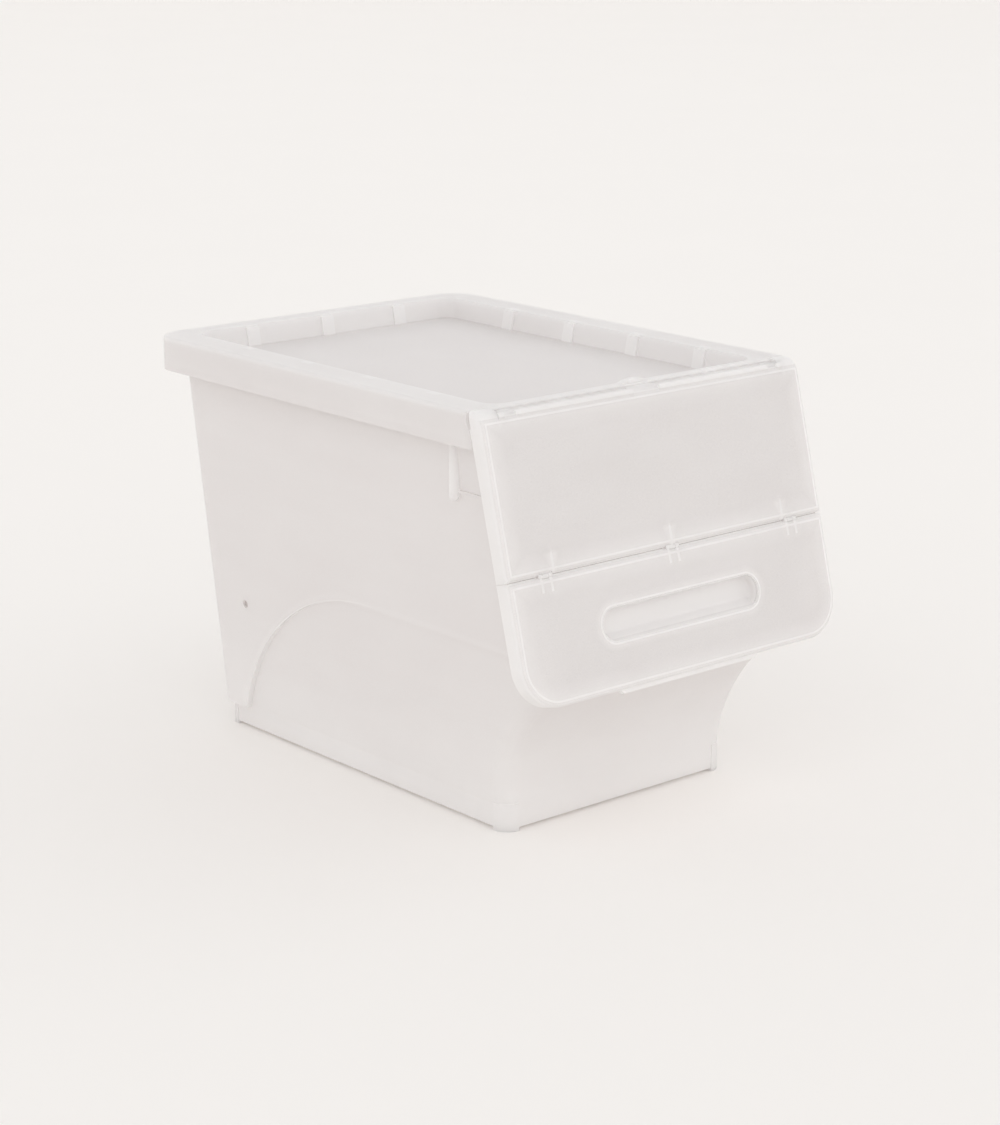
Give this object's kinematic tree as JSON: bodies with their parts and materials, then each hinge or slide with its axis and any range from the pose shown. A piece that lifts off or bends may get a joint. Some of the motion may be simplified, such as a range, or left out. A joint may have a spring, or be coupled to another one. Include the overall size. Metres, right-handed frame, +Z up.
{
  "type": "stackable storage bin",
  "caption": "Translucent front-opening storage bin with a recessed stacking lid and a slanted two-leaf flap door with a finger recess.",
  "frame": {"origin": "on the floor, under the middle of the whole bin with its door closed", "axes": "+Z up, +Y to the rear along the bin's depth, +X to the right seen from the front"},
  "size_m": [0.296, 0.428, 0.3076],
  "materials": {
    "tub_plastic": "milky translucent polypropylene, satin",
    "lid_plastic": "milky translucent polypropylene, satin",
    "door_plastic": "frosted translucent polypropylene, smooth",
    "hinge_plastic": "natural white plastic"
  },
  "bodies": {
    "tub": {"bin_body": "tub_plastic"},
    "lid": {"lid": "lid_plastic"},
    "upper_leaf": {"upper_door": "door_plastic", "top_hinge_rod": "hinge_plastic"},
    "lower_leaf": {"lower_door": "door_plastic", "fold_pins": "hinge_plastic"}
  },
  "joints": [
    {"name": "lid_lift", "type": "slide", "parent": "tub", "child": "lid", "axis": [0, 0, 1], "range_m": [0, 0.22]},
    {"name": "door_swing", "type": "hinge", "parent": "lid", "child": "upper_leaf", "pos_m": [0, -0.15989, 0.30033], "axis": [-1, 0, 0], "range_deg": [0, 110]},
    {"name": "door_fold", "type": "hinge", "parent": "upper_leaf", "child": "lower_leaf", "pos_m": [0, -0.19071, 0.19699], "axis": [-1, 0, 0], "range_deg": [0, 90]}
  ]
}
